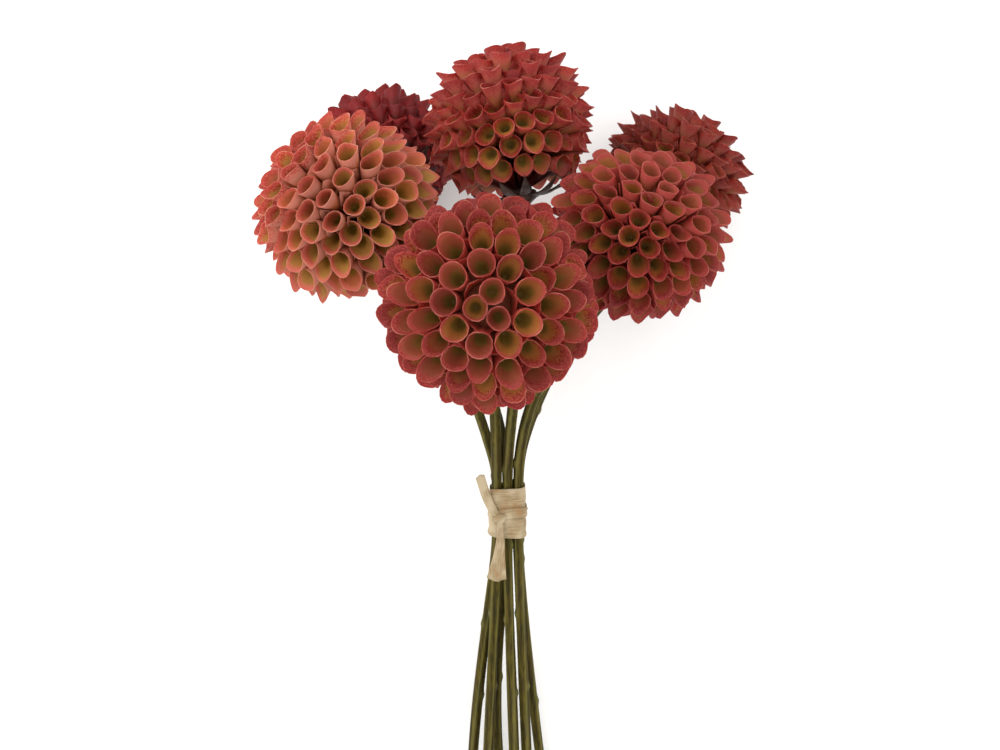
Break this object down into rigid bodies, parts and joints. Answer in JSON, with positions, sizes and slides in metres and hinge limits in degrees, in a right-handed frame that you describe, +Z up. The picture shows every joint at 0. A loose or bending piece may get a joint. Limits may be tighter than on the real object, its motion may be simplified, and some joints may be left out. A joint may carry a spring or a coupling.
{
  "type": "tied bunch of artificial pompon dahlias",
  "caption": "Small bunch of moulded pompon dahlias with quilled, red-rimmed cup petals on bare green stems, tied with a strip of raffia and lying on its back.",
  "frame": {"origin": "on the supporting surface, under the middle of the bounding box", "axes": "+Y from the cut stem ends to the blooms, +Z up, +X to the right in the picture"},
  "size_m": [0.1652, 0.2976, 0.1374],
  "materials": {
    "petals_front": "satin",
    "petals_right": "satin",
    "petals_right_back": "satin",
    "petals_left": "satin",
    "petals_top": "satin",
    "petals_left_back": "satin",
    "stem": "satin",
    "calyx": "satin",
    "raffia": "matte"
  },
  "bodies": {
    "root": {"front_receptacle": "calyx", "front_petal_centre": "petals_front", "front_petal_row_1": "petals_front", "front_petal_row_2": "petals_front", "front_petal_row_3": "petals_front", "front_petal_row_4": "petals_front", "front_petal_row_5": "petals_front", "front_petal_row_6": "petals_front", "front_stem": "stem", "right_receptacle": "calyx", "right_petal_centre": "petals_right", "right_petal_row_1": "petals_right", "right_petal_row_2": "petals_right", "right_petal_row_3": "petals_right", "right_petal_row_4": "petals_right", "right_petal_row_5": "petals_right", "right_petal_row_6": "petals_right", "right_stem": "stem", "right_back_receptacle": "calyx", "right_back_petal_centre": "petals_right_back", "right_back_petal_row_1": "petals_right_back", "right_back_petal_row_2": "petals_right_back", "right_back_petal_row_3": "petals_right_back", "right_back_petal_row_4": "petals_right_back", "right_back_petal_row_5": "petals_right_back", "right_back_petal_row_6": "petals_right_back", "right_back_stem": "stem", "left_receptacle": "calyx", "left_petal_centre": "petals_left", "left_petal_row_1": "petals_left", "left_petal_row_2": "petals_left", "left_petal_row_3": "petals_left", "left_petal_row_4": "petals_left", "left_petal_row_5": "petals_left", "left_petal_row_6": "petals_left", "left_stem": "stem", "top_receptacle": "calyx", "top_petal_centre": "petals_top", "top_petal_row_1": "petals_top", "top_petal_row_2": "petals_top", "top_petal_row_3": "petals_top", "top_petal_row_4": "petals_top", "top_petal_row_5": "petals_top", "top_petal_row_6": "petals_top", "top_stem": "stem", "left_back_receptacle": "calyx", "left_back_petal_centre": "petals_left_back", "left_back_petal_row_1": "petals_left_back", "left_back_petal_row_2": "petals_left_back", "left_back_petal_row_3": "petals_left_back", "left_back_petal_row_4": "petals_left_back", "left_back_petal_row_5": "petals_left_back", "left_back_petal_row_6": "petals_left_back", "left_back_stem": "stem", "raffia_tie": "raffia"}
  },
  "joints": []
}
